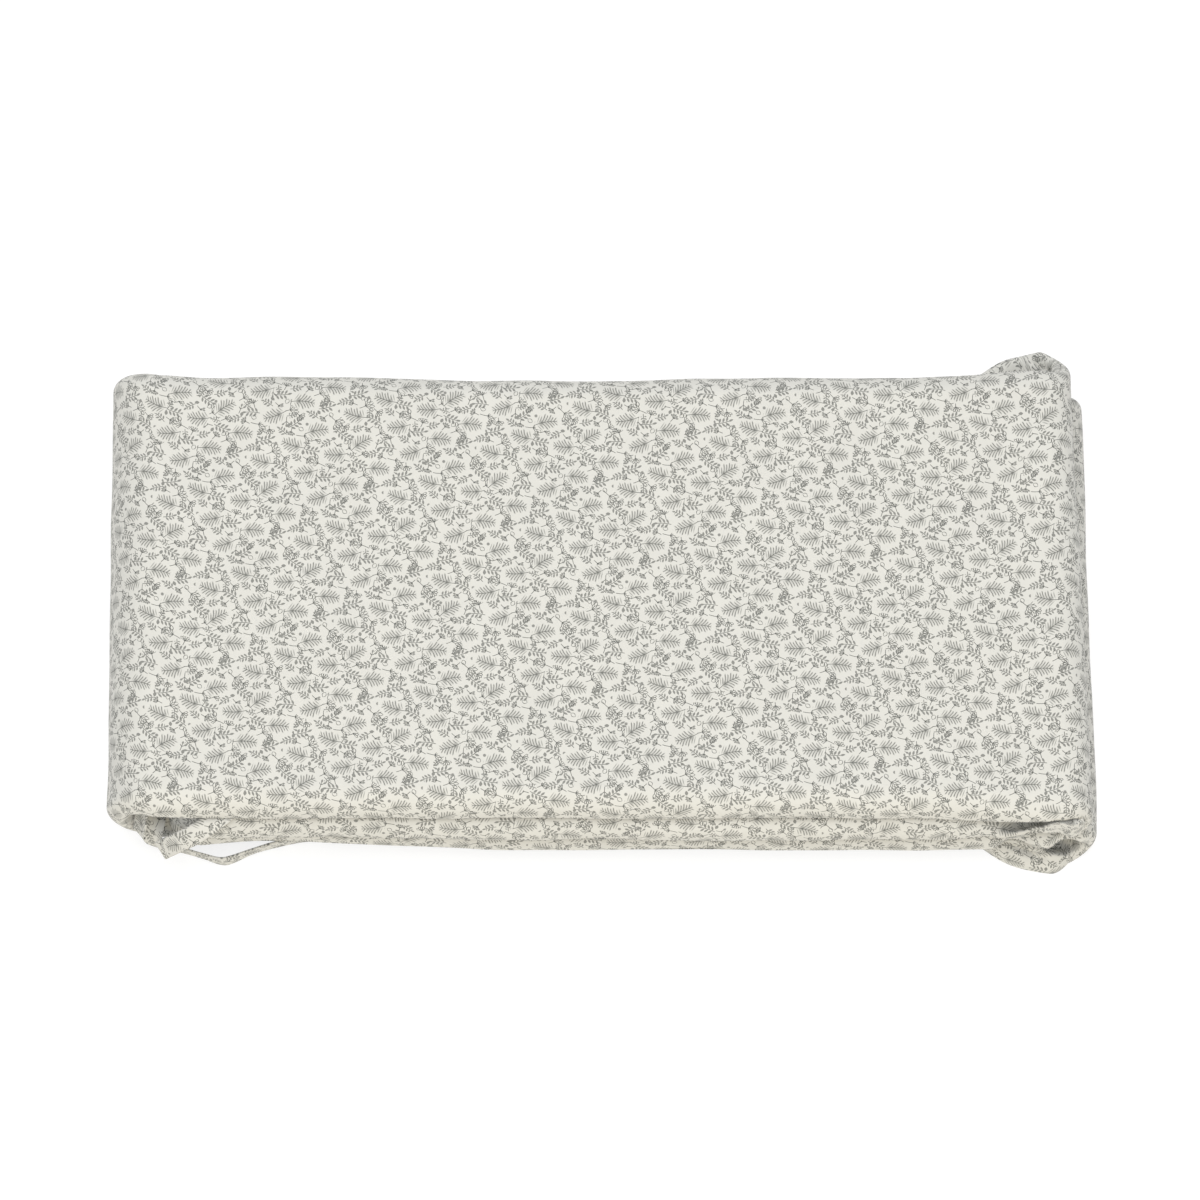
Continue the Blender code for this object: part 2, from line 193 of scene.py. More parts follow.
@dataclass(frozen=True)
class LeafPrint:
    """An all-over print of small ferns, sprigs and sprays in thin lines. Its sizes are in millimetres.

    The motifs stand on a slanting lattice. Each cell's chance numbers shift and turn them. The numbers come
    round again after a few cells, as a printed repeat does.
    """

    pitch: tuple[float, float, float] = (21.5, 19.9, 1.0)
    cells_in_repeat: float = 3.0
    lattice_turn: float = 0.47           # radians
    not_turned: float = 0.45             # the share of the motifs that aren't turned right round
    line: float = 0.18                   # half a plain line's width
    soft: float = 0.16                   # of its edges
    leaf_tone: float = 0.72              # how dark a small leaf is filled

    def cell(self, graph: Graph, place: Socket, spot: Spot) -> tuple[Socket, Socket]:
        """Return coordinates about the motif of the cell that a place is in.

        Args:
            graph: Where the nodes go.
            place: The place on the cloth, in millimetres.
            spot: Where the motif stands in its cell.

        Returns:
            The x along the motif and the y across it.
        """
        slanted = graph.put("VectorRotate", (place, None, None, self.lattice_turn), rotation_type="Z_AXIS")
        grid = graph.vector("DIVIDE", slanted.outputs[0], self.pitch)
        grid = graph.vector("SUBTRACT", grid, (spot.x - 0.5, spot.y - 0.5, 0.0))
        index = graph.vector("FLOOR", grid)
        inside = graph.vector("SUBTRACT", graph.vector("SUBTRACT", grid, index), (0.5, 0.5, 0.0))
        inside = graph.vector("MULTIPLY", inside, self.pitch)
        wrapped = graph.vector("WRAP", index, (self.cells_in_repeat,) * 3, (0.0, 0.0, 0.0))
        seeded = graph.vector("ADD", wrapped, (spot.seed, spot.seed * 0.37, spot.seed * 1.3))
        chance = graph.put("TexWhiteNoise", (seeded,), noise_dimensions="3D").outputs
        offset = graph.vector("SUBTRACT", chance["Color"], (0.5, 0.5, 0.5))
        offset = graph.vector("MULTIPLY", offset, (2 * spot.shift, 2 * spot.shift, 0.0))
        x, y = graph.split(graph.vector("SUBTRACT", inside, offset))
        turned = graph.math("MULTIPLY_ADD", chance["Value"], 2 * spot.tilt, -spot.tilt - self.lattice_turn)
        other_way = graph.math("FRACT", graph.math("MULTIPLY", chance["Value"], 7.0))
        other_way = graph.math("GREATER_THAN", other_way, self.not_turned)
        angle = graph.math("MULTIPLY_ADD", other_way, math.pi, turned)
        return graph.turn(x, y, angle)

    def stroke(self, graph: Graph, distance: Socket, unit: float = 1.0) -> Socket:
        """Return the ink of a drawn line.

        Args:
            graph: Where the nodes go.
            distance: How far a place lies from the line's middle.
            unit: The size of one unit of that distance.
        """
        return graph.step(distance, self.line / unit, self.soft / unit)

    def stalk(self, graph: Graph, x: Socket, side: Socket, low: float, high: float) -> Socket:
        """Return the ink of a straight stalk between two places along x."""
        return graph.math("MULTIPLY", self.stroke(graph, side), graph.between(x, low, high, 0.3))

    def leaf(
        self, graph: Graph, x: Socket, y: Socket, long: float, wide: float, drawn: bool = False
    ) -> Socket:
        """Return the ink of a pointed leaf about the origin.

        Args:
            graph: Where the nodes go.
            x: Along the leaf.
            y: Across it.
            long: Half its length.
            wide: Half its width.
            drawn: Whether it is an outline with a pale inside.
        """
        along = graph.math("DIVIDE", x, long)
        across = graph.math("DIVIDE", graph.math("ABSOLUTE", y), wide)
        reach = graph.math("MULTIPLY_ADD", along, along, across)
        if not drawn:
            return graph.step(reach, 1.0, self.soft / wide, self.leaf_tone)
        return self.stroke(graph, graph.math("ABSOLUTE", graph.math("SUBTRACT", reach, 0.85)), wide)

    def fern(self, graph: Graph, x: Socket, y: Socket) -> tuple[Socket, Socket]:
        """Return the ink of a fern frond, with slanting barbs on both sides of its stem.

        Args:
            graph: Where the nodes go.
            x: Along the frond, towards its tip.
            y: Across it.

        Returns:
            Its ink, and the halo that keeps the other motifs off it.
        """
        pitch, long, wide = 1.90, 7.2, 5.2       # from barb to barb, and half its length and width
        bend, curl = -0.016, 0.07                # of the stem and of the barbs
        narrowing = 0.045                        # a millimetre, towards the tip
        unequal = 0.3                            # the share by which neighbouring barbs differ in reach
        heart_at = -4.0                          # the dark place near its foot
        bent = graph.math("MULTIPLY_ADD", graph.math("MULTIPLY", x, x), bend, y)
        side = graph.math("ABSOLUTE", bent)
        curve = graph.math("MULTIPLY_ADD", side, curl, -1.0)
        slant = graph.math("MULTIPLY_ADD", side, curve, x)
        narrowed = graph.math("MULTIPLY", side, graph.math("MULTIPLY_ADD", x, narrowing, 1.0))
        reach = graph.length(graph.math("DIVIDE", x, long), graph.math("DIVIDE", narrowed, wide))
        shorter = graph.math("MULTIPLY", graph.math("PINGPONG", slant, pitch), unequal / pitch)
        edge = graph.math("ADD", reach, shorter)
        gap = graph.math("PINGPONG", graph.math("ADD", slant, pitch * 0.25), pitch / 2)
        lines = graph.step(gap, at=self.line * 1.25, soft=self.soft * 1.2, full=0.95)
        leaflets = graph.step(gap, at=pitch * 0.30, soft=pitch * 0.2, full=0.28)
        barbs = graph.math("MULTIPLY", graph.most(lines, leaflets), graph.step(edge, at=1.0, soft=0.2))
        wash = graph.step(edge, at=0.55, soft=0.7, full=0.30)
        from_heart = graph.length(graph.math("ADD", x, -heart_at), bent)
        heart = graph.step(from_heart, at=1.5, soft=3.0, full=0.7)
        stem = self.stalk(graph, x, side, low=-9.2, high=5.2)
        halo = graph.length(graph.math("DIVIDE", x, long * 1.2), graph.math("DIVIDE", bent, wide * 1.1))
        return graph.most(barbs, wash, stem, heart), graph.step(halo, 1.0, 0.05)

    def sprig(
        self, graph: Graph, x: Socket, y: Socket, pitch: float, leaf: float, ends: tuple[float, float]
    ) -> Socket:
        """Return the ink of a stem with pairs of small leaves and one leaf at its tip.

        Args:
            graph: Where the nodes go.
            x: Along the stem.
            y: Across it.
            pitch: From one pair of leaves to the next.
            leaf: Half a leaf's length.
            ends: Where the leaves start and stop, along the stem.
        """
        bent = graph.math("MULTIPLY_ADD", graph.math("MULTIPLY", x, x), 0.02, y)
        side = graph.math("ABSOLUTE", bent)
        stagger = graph.math("MULTIPLY", graph.math("SIGN", bent), pitch * 0.14)
        along = graph.math("WRAP", graph.math("ADD", x, stagger), pitch / 2, -pitch / 2)
        wide = leaf * 0.42
        turned = graph.turn(along, graph.math("SUBTRACT", side, leaf * 1.0), -1.0)
        leaves = self.leaf(graph, turned[0], turned[1], leaf, wide)
        leaves = graph.math("MULTIPLY", leaves, graph.between(x, ends[0], ends[1], 0.1))
        tip = self.leaf(graph, graph.math("SUBTRACT", x, ends[1] + leaf * 0.8), bent, leaf, wide)
        return graph.most(leaves, tip, self.stalk(graph, x, side, ends[0] - 1.5, ends[1]))

    def spray(
        self, graph: Graph, x: Socket, y: Socket, rays: int, reach: float, bud: float, drawn: bool = False
    ) -> Socket:
        """Return the ink of a stem whose end spreads into an odd number of rays with buds.

        Args:
            graph: Where the nodes go.
            x: Along the stem.
            y: Across it.
            rays: How many rays there are.
            reach: From their meeting point to a bud's middle.
            bud: Half a bud's length.
            drawn: Whether the buds are outlines.
        """
        spread = 2.5 / rays
        angle = graph.math("ARCTAN2", y, x)
        radius = graph.length(x, y)
        folded = graph.math("WRAP", angle, spread / 2, -spread / 2)
        along = graph.math("MULTIPLY", radius, graph.math("COSINE", folded))
        across = graph.math("MULTIPLY", radius, graph.math("SINE", folded))
        ray = self.stalk(graph, along, graph.math("ABSOLUTE", across), 0.1, reach - bud * 0.8)
        buds = self.leaf(graph, graph.math("SUBTRACT", along, reach), across, bud, bud * 0.55, drawn)
        fan = graph.math("MULTIPLY", graph.most(ray, buds), graph.between(angle, -1.25, 1.25, 0.02))
        bent = graph.math("MULTIPLY_ADD", graph.math("MULTIPLY", x, x), 0.025, y)
        return graph.most(fan, self.stalk(graph, x, graph.math("ABSOLUTE", bent), -reach * 1.1, 0.3))

    def ink(self, graph: Graph, place: Socket) -> Socket:
        """Return how much ink lies at a place, from 0 to 1.

        Args:
            graph: Where the nodes go.
            place: The place on the cloth, in millimetres.
        """

        def about(name: str) -> tuple[Socket, Socket]:
            """Return coordinates about the named motif."""
            return self.cell(graph, place, SPOTS[name])

        fern, halo = self.fern(graph, *about("fern"))
        others = graph.most(
            self.sprig(graph, *about("long_sprig"), pitch=2.35, leaf=1.6, ends=(-3.525, 3.525)),
            self.spray(graph, *about("fan"), rays=5, reach=4.3, bud=1.8, drawn=True),
            self.sprig(graph, *about("twig"), pitch=2.0, leaf=1.35, ends=(-3.0, 2.0)),
            self.spray(graph, *about("berries"), rays=3, reach=2.7, bud=1.1),
            graph.step(graph.length(*about("dot")), at=0.95, soft=0.5, full=0.7),
            self.spray(graph, *about("small_fan"), rays=5, reach=2.4, bud=1.0),
            self.spray(graph, *about("flower"), rays=5, reach=2.6, bud=1.3, drawn=True),
            self.leaf(graph, *about("seed_head"), long=1.8, wide=1.4, drawn=True),
            self.leaf(graph, *about("bud"), long=1.5, wide=1.0),
            self.sprig(graph, *about("shoot"), pitch=1.7, leaf=1.05, ends=(-1.7, 1.7)),
        )
        others = graph.math("MULTIPLY", others, graph.math("SUBTRACT", 1.0, halo))
        return graph.math("MAXIMUM", fern, others)


class Noise(NamedTuple):
    """Soft random patches."""

    scale: float             # a millimetre
    detail: float
    roughness: float


@dataclass(frozen=True)
class PrintedCotton:
    """Off-white woven cotton with the leaf print, read from the piece's own map in metres."""

    ground: tuple[float, float, float, float] = (0.585, 0.580, 0.543, 1.0)
    ink: tuple[float, float, float, float] = (0.050, 0.055, 0.050, 1.0)
    ink_strength: float = 0.93
    roughness: float = 0.92
    sheen: float = 0.12
    sheen_roughness: float = 0.5
    specular: float = 0.2
    thread_pitch: float = 0.55           # millimetres
    weave_strength: float = 0.35
    weave_height: float = 0.0002         # metres
    thread_weight: float = 0.25          # of the even threads in the weave, against its slubs
    slubs: Noise = Noise(1.4, 3.0, 0.6)
    clouds: Noise = Noise(0.035, 2.0, 0.5)
    unevenness: float = 0.015            # of the ground's brightness, either way
    leaf_print: LeafPrint = field(default_factory=LeafPrint)

    def material(self, name: str) -> bpy.types.Material:
        """Return a new material.

        Args:
            name: The material's name.

        Returns:
            The cotton, with its print, weave and faint unevenness.
        """
        material = bpy.data.materials.new(name)
        material.use_nodes = True
        tree = material.node_tree
        graph = Graph(tree)
        shader = tree.nodes["Principled BSDF"]
        cloth_map = graph.put("UVMap", uv_map=CLOTH_MAP).outputs[0]
        place = graph.vector("MULTIPLY", cloth_map, (METRES_TO_MILLIMETRES, METRES_TO_MILLIMETRES, 0.0))
        ink = graph.math("MULTIPLY", self.leaf_print.ink(graph, place), self.ink_strength)
        cloudy = graph.put("TexNoise", (place, None, *self.clouds), noise_dimensions="2D").outputs[0]
        dim, bright = 1.0 - self.unevenness, 1.0 + self.unevenness
        wear = graph.put("MapRange", (cloudy, 0.3, 0.7, dim, bright)).outputs[0]
        ground = graph.vector("SCALE", self.ground[:3])
        tree.links.new(wear, ground.node.inputs["Scale"])
        colour = graph.put("Mix", (), data_type="RGBA")
        tree.links.new(ink, colour.inputs["Factor"])
        tree.links.new(ground, colour.inputs["A"])
        colour.inputs["B"].default_value = self.ink
        tree.links.new(colour.outputs["Result"], shader.inputs["Base Color"])
        x, y = graph.split(place)
        step = math.pi / self.thread_pitch
        warp = graph.math("ABSOLUTE", graph.math("SINE", graph.math("MULTIPLY", x, step)))
        weft = graph.math("ABSOLUTE", graph.math("SINE", graph.math("MULTIPLY", y, step)))
        slub = graph.put("TexNoise", (place, None, *self.slubs), noise_dimensions="2D").outputs[0]
        threads = graph.math("MULTIPLY", graph.math("ADD", warp, weft), self.thread_weight)
        weave = graph.math("ADD", threads, slub)
        bump = graph.put("Bump", (self.weave_strength, self.weave_height))
        tree.links.new(weave, bump.inputs["Height"])
        tree.links.new(bump.outputs[0], shader.inputs["Normal"])
        shader.inputs["Roughness"].default_value = self.roughness
        shader.inputs["Sheen Weight"].default_value = self.sheen
        shader.inputs["Sheen Roughness"].default_value = self.sheen_roughness
        shader.inputs["Specular IOR Level"].default_value = self.specular
        return material


# ---- the padded strip -------------------------------------------------------------------------------------


class Part(Enum):
    """The stretches of the strip, in the order of its path."""

    UPPER = "upper"
    HIGH_FOLD = "high_fold"
    TOP = "top"
    BIG_FOLD = "big_fold"
    BOTTOM = "bottom"
    LOW_FOLD = "low_fold"
    LOWER = "lower"


class Layer(NamedTuple):
    """One of the four layers: its rank from the table, and the lines of its front and back edges."""

    rank: int
    front: float
    back: float
    folds_up: bool           # at the right, this layer turns up into the one above
    front_set: float         # how far its right fold stands out past the edge, at the front
    back_set: float          # and at the back


class Swell(NamedTuple):
    """A place where an edge stands out from its straight line, or draws in."""

    layer: Part
    side: str
    centre: float
    left_reach: float
    right_reach: float
    amount: float


class Station(NamedTuple):
    """A cross-section of the padded strip, on its path in the XZ plane."""

    part: Part
    x: float
    z: float
    along: tuple[float, float]
    thickness: float
    front: float
    back: float
    front_set: float
    back_set: float
    end_fill: float          # the share of the thickness that a loose end keeps here
    edge_round: float


class Side(Enum):
    """The two faces of the strip: its inner one faces the hollow of each fold."""

    INNER = "inner"
    OUTER = "outer"
    BOTH = "both"


@dataclass(frozen=True)
class Shaping:
    """Something done to a stretch of the strip. BOX_CENTRE isn't yet taken off its places."""

    parts: tuple[Part, ...]
    side: Side

    def weight(self, points: np.ndarray) -> np.ndarray:
        """Return how strongly the shaping acts on each point, from 0 to 1."""
        raise NotImplementedError

    def shape(self, points: np.ndarray, out: np.ndarray, share: np.ndarray) -> np.ndarray:
        """Return the points, shaped.

        Args:
            points: Where they are now.
            out: The outward direction at each of them.
            share: How much of the shaping each of them takes.
        """
        raise NotImplementedError

    def inward(self, innerness: np.ndarray) -> np.ndarray:
        """Return the share of the inner face at each point, eased over the edge."""
        return innerness

    def share(self, path: list[Station], points: np.ndarray, innerness: np.ndarray) -> np.ndarray:
        """Return the weight of every point, limited to this shaping's parts and side.

        Args:
            path: The cross-sections.
            points: Their points.
            innerness: For each point of a ring 1 on the inner face, 0 on the outer one, and eased between.

        Returns:
            A number from 0 to 1 for every point.
        """
        chosen = np.array([station.part in self.parts for station in path])[:, None]
        inward = self.inward(innerness)[None, :]
        if self.side is Side.INNER:
            chosen = chosen * inward
        elif self.side is Side.OUTER:
            chosen = chosen * (1 - inward)
        return self.weight(points) * chosen


@dataclass(frozen=True)
class Push(Shaping):
    """A soft push of the cloth round a centre."""

    centre: tuple[float, float, float]
    reach: tuple[float, float, float]
    move: tuple[float, float, float]

    def weight(self, points: np.ndarray) -> np.ndarray:
        """Return a smooth hump round the centre."""
        return ease_all(1 - np.linalg.norm((points - self.centre) / np.array(self.reach), axis=2))

    def shape(self, points: np.ndarray, out: np.ndarray, share: np.ndarray) -> np.ndarray:
        """Return the points, pushed."""
        return points + share[:, :, None] * np.array(self.move)


@dataclass(frozen=True)
class Crease(Shaping):
    """A soft trough, or a ridge where its depth is negative, along a straight line over the cloth."""

    start: tuple[float, float, float]
    finish: tuple[float, float, float]
    width: float
    depth: float

    def weight(self, points: np.ndarray) -> np.ndarray:
        """Return a soft band along the line, which fades towards both its ends."""
        start, finish = np.array(self.start), np.array(self.finish)
        run = finish - start
        offset = points - start
        along = offset @ run / (run @ run)
        gap = np.linalg.norm(offset - np.clip(along, 0.0, 1.0)[:, :, None] * run, axis=2)
        fade = ease_all(np.minimum(along, 1 - along) * 4 + 0.5)
        return np.exp(-((gap / self.width) ** 2)) * fade

    def shape(self, points: np.ndarray, out: np.ndarray, share: np.ndarray) -> np.ndarray:
        """Return the points, creased."""
        return points - out * (share * self.depth)[:, :, None]


@dataclass(frozen=True)
class Squeeze(Shaping):
    """A place where bunched cloth closes the hollow of a fold, at the front."""

    level: float             # Z that the cloth closes on
    begin: float             # X where it starts
    over: float              # the length that it takes to close
    front: float             # Y of the front edge
    depth: float             # how far behind the front it ends
    keep: float              # the share of the hollow's height that stays

    def inward(self, innerness: np.ndarray) -> np.ndarray:
        """Return the share of the inner face, full right from the edge, so that the closed front is flush."""
        return np.clip((innerness - 0.5) * 8, 0.0, 1.0)

    def weight(self, points: np.ndarray) -> np.ndarray:
        """Return a share that grows to the right and fades towards the back."""
        right = ease_all((points[:, :, 0] - self.begin) / self.over)
        return right * ease_all(1 - (points[:, :, 1] - self.front) / self.depth)

    def shape(self, points: np.ndarray, out: np.ndarray, share: np.ndarray) -> np.ndarray:
        """Return the points, drawn to the level."""
        drawn = points.copy()
        drawn[:, :, 2] += (self.level - points[:, :, 2]) * share * (1 - self.keep)
        return drawn


LAYERS: dict[Part, Layer] = {
    Part.TOP: Layer(3, -0.1420, 0.1460, False, -0.0015, -0.0125),
    Part.UPPER: Layer(2, -0.1495, 0.1385, True, -0.0015, -0.0125),
    Part.LOWER: Layer(1, -0.1495, 0.1385, False, 0.0025, -0.0040),
    Part.BOTTOM: Layer(0, -0.1335, 0.1425, True, 0.0025, -0.0040),
}
SWELLS: tuple[Swell, ...] = (
    Swell(Part.TOP, "back", -0.010, 0.200, 0.200, -0.0025),
    Swell(Part.TOP, "back", 0.274, 0.060, 0.040, 0.0010),
    Swell(Part.TOP, "front", 0.275, 0.090, 0.040, -0.0030),
    Swell(Part.UPPER, "back", 0.2900, 0.088, 0.060, 0.0310),
    Swell(Part.UPPER, "back", 0.2600, 0.018, 0.020, 0.0020),
    Swell(Part.UPPER, "front", -0.180, 0.100, 0.140, 0.0020),
    Swell(Part.LOWER, "front", -0.212, 0.072, 0.170, 0.0055),
    Swell(Part.LOWER, "front", 0.249, 0.014, 0.022, 0.0070),
    Swell(Part.LOWER, "front", 0.270, 0.040, 0.022, -0.0020),
    Swell(Part.LOWER, "back", 0.290, 0.050, 0.030, 0.0075),
    Swell(Part.BOTTOM, "front", -0.272, 0.055, 0.035, -0.0012),
    Swell(Part.BOTTOM, "front", -0.180, 0.060, 0.080, 0.0020),
    Swell(Part.BOTTOM, "front", 0.240, 0.040, 0.030, -0.0065),
    Swell(Part.BOTTOM, "front", 0.274, 0.055, 0.030, -0.0235),
    Swell(Part.BOTTOM, "back", 0.290, 0.050, 0.030, 0.0035),
)
UPPER = (Part.UPPER,)
HIGH = (Part.UPPER, Part.HIGH_FOLD, Part.TOP)
CRACK = (Part.UPPER, Part.HIGH_FOLD, Part.LOWER, Part.LOW_FOLD)
CRACK_ROOF = (Part.UPPER, Part.HIGH_FOLD)
CRACK_FLOOR = (Part.LOWER, Part.LOW_FOLD)
EAR = (Part.BOTTOM, Part.LOW_FOLD)
LEFT_HOLLOW = (Part.BOTTOM, Part.BIG_FOLD)
INNER, OUTER, BOTH = Side.INNER, Side.OUTER, Side.BOTH
SHAPINGS: tuple[Shaping, ...] = (
    # the front right corner: the upper fold's hollow sinks to a pocket behind a rising ridge, then is shut
    Squeeze(HIGH, INNER, level=0.0690, begin=0.2670, over=0.010, front=-0.150, depth=0.045, keep=0.0),
    Push(UPPER, INNER, (0.2570, -0.1400, 0.0560), (0.024, 0.014, 0.020), (0.0, 0.002, -0.0120)),
    Push(UPPER, BOTH, (0.2590, -0.1490, 0.0500), (0.017, 0.010, 0.020), (0.0, 0.003, 0.0050)),
    Push(UPPER, BOTH, (0.2680, -0.1490, 0.0520), (0.012, 0.012, 0.020), (0.0, 0.003, 0.0080)),
    # the crack between the two folds climbs at the left of the ear, and again near its right end, and opens
    Push(CRACK, OUTER, (0.2330, -0.150, 0.0410), (0.022, 0.022, 0.022), (0.0, 0.002, 0.0090)),
    Push(CRACK, OUTER, (0.2770, -0.150, 0.0410), (0.022, 0.024, 0.022), (0.0, 0.002, 0.0085)),
    Push(CRACK_ROOF, OUTER, (0.2790, -0.148, 0.0430), (0.011, 0.018, 0.012), (0.0, 0.006, 0.0050)),
    Push(CRACK_FLOOR, OUTER, (0.2790, -0.148, 0.0400), (0.011, 0.018, 0.012), (0.0, 0.006, -0.0040)),
    Crease(CRACK_ROOF, BOTH, (0.2737, -0.1451, 0.045), (0.2832, -0.1422, 0.057), 0.0022, -0.0022),
    # the lower fold's hollow, tall at its right end
    Push(CRACK_FLOOR, BOTH, (0.2850, -0.150, 0.0320), (0.014, 0.022, 0.016), (0.0, 0.0050, 0.0020)),
    Push(EAR, INNER, (0.2800, -0.1400, 0.0110), (0.016, 0.010, 0.012), (0.0, 0.0, -0.0075)),
    # the ear of the bottom layer: a roll along its top, with a trough behind it and a thin crease before it
    Crease(EAR, INNER, (0.2485, -0.1400, 0.0155), (0.2731, -0.1489, 0.0109), 0.0021, 0.0065),
    Crease(EAR, INNER, (0.2472, -0.1380, 0.0160), (0.2700, -0.1442, 0.0115), 0.0028, -0.0055),
    Crease(EAR, INNER, (0.2670, -0.1445, 0.0116), (0.2890, -0.1468, 0.0105), 0.0034, -0.0065),
    # the ear of the upper layer behind: hollow before its rim, with a pocket where it meets the fold
    Push(UPPER, INNER, (0.2560, 0.1510, 0.0520), (0.024, 0.014, 0.020), (0.0, 0.0, -0.0100)),
    Crease(CRACK_ROOF, INNER, (0.2690, 0.1640, 0.0510), (0.2790, 0.1545, 0.0535), 0.0032, 0.0120),
    Crease(UPPER, INNER, (0.2360, 0.1495, 0.0530), (0.2480, 0.1590, 0.0520), 0.0018, 0.0035),
    # the hollow of the large fold at the front left, behind a thin rim
    Push(LEFT_HOLLOW, INNER, (-0.2840, -0.1240, 0.0230), (0.018, 0.016, 0.026), (-0.002, 0.0, -0.0160)),
    # the front left corner of the upper layer, drawn in behind the free tie
    Push(UPPER, BOTH, (-0.2600, -0.1480, 0.0520), (0.026, 0.022, 0.022), (0.0, 0.006, -0.003)),
)


class Ripple(NamedTuple):
    """A long, low wave of the cloth, which runs over the strip at a slant."""

    length_x: float
    length_y: float
    phase: float             # radians
    height: float


RIPPLES = (
    Ripple(0.210, 0.160, 0.4, 0.00030),
    Ripple(0.130, -0.190, 1.9, 0.00025),
    Ripple(-0.085, 0.110, 3.1, 0.00020),
    Ripple(0.052, 0.300, 4.4, 0.00012),
    Ripple(0.300, 0.061, 5.0, 0.00015),
)


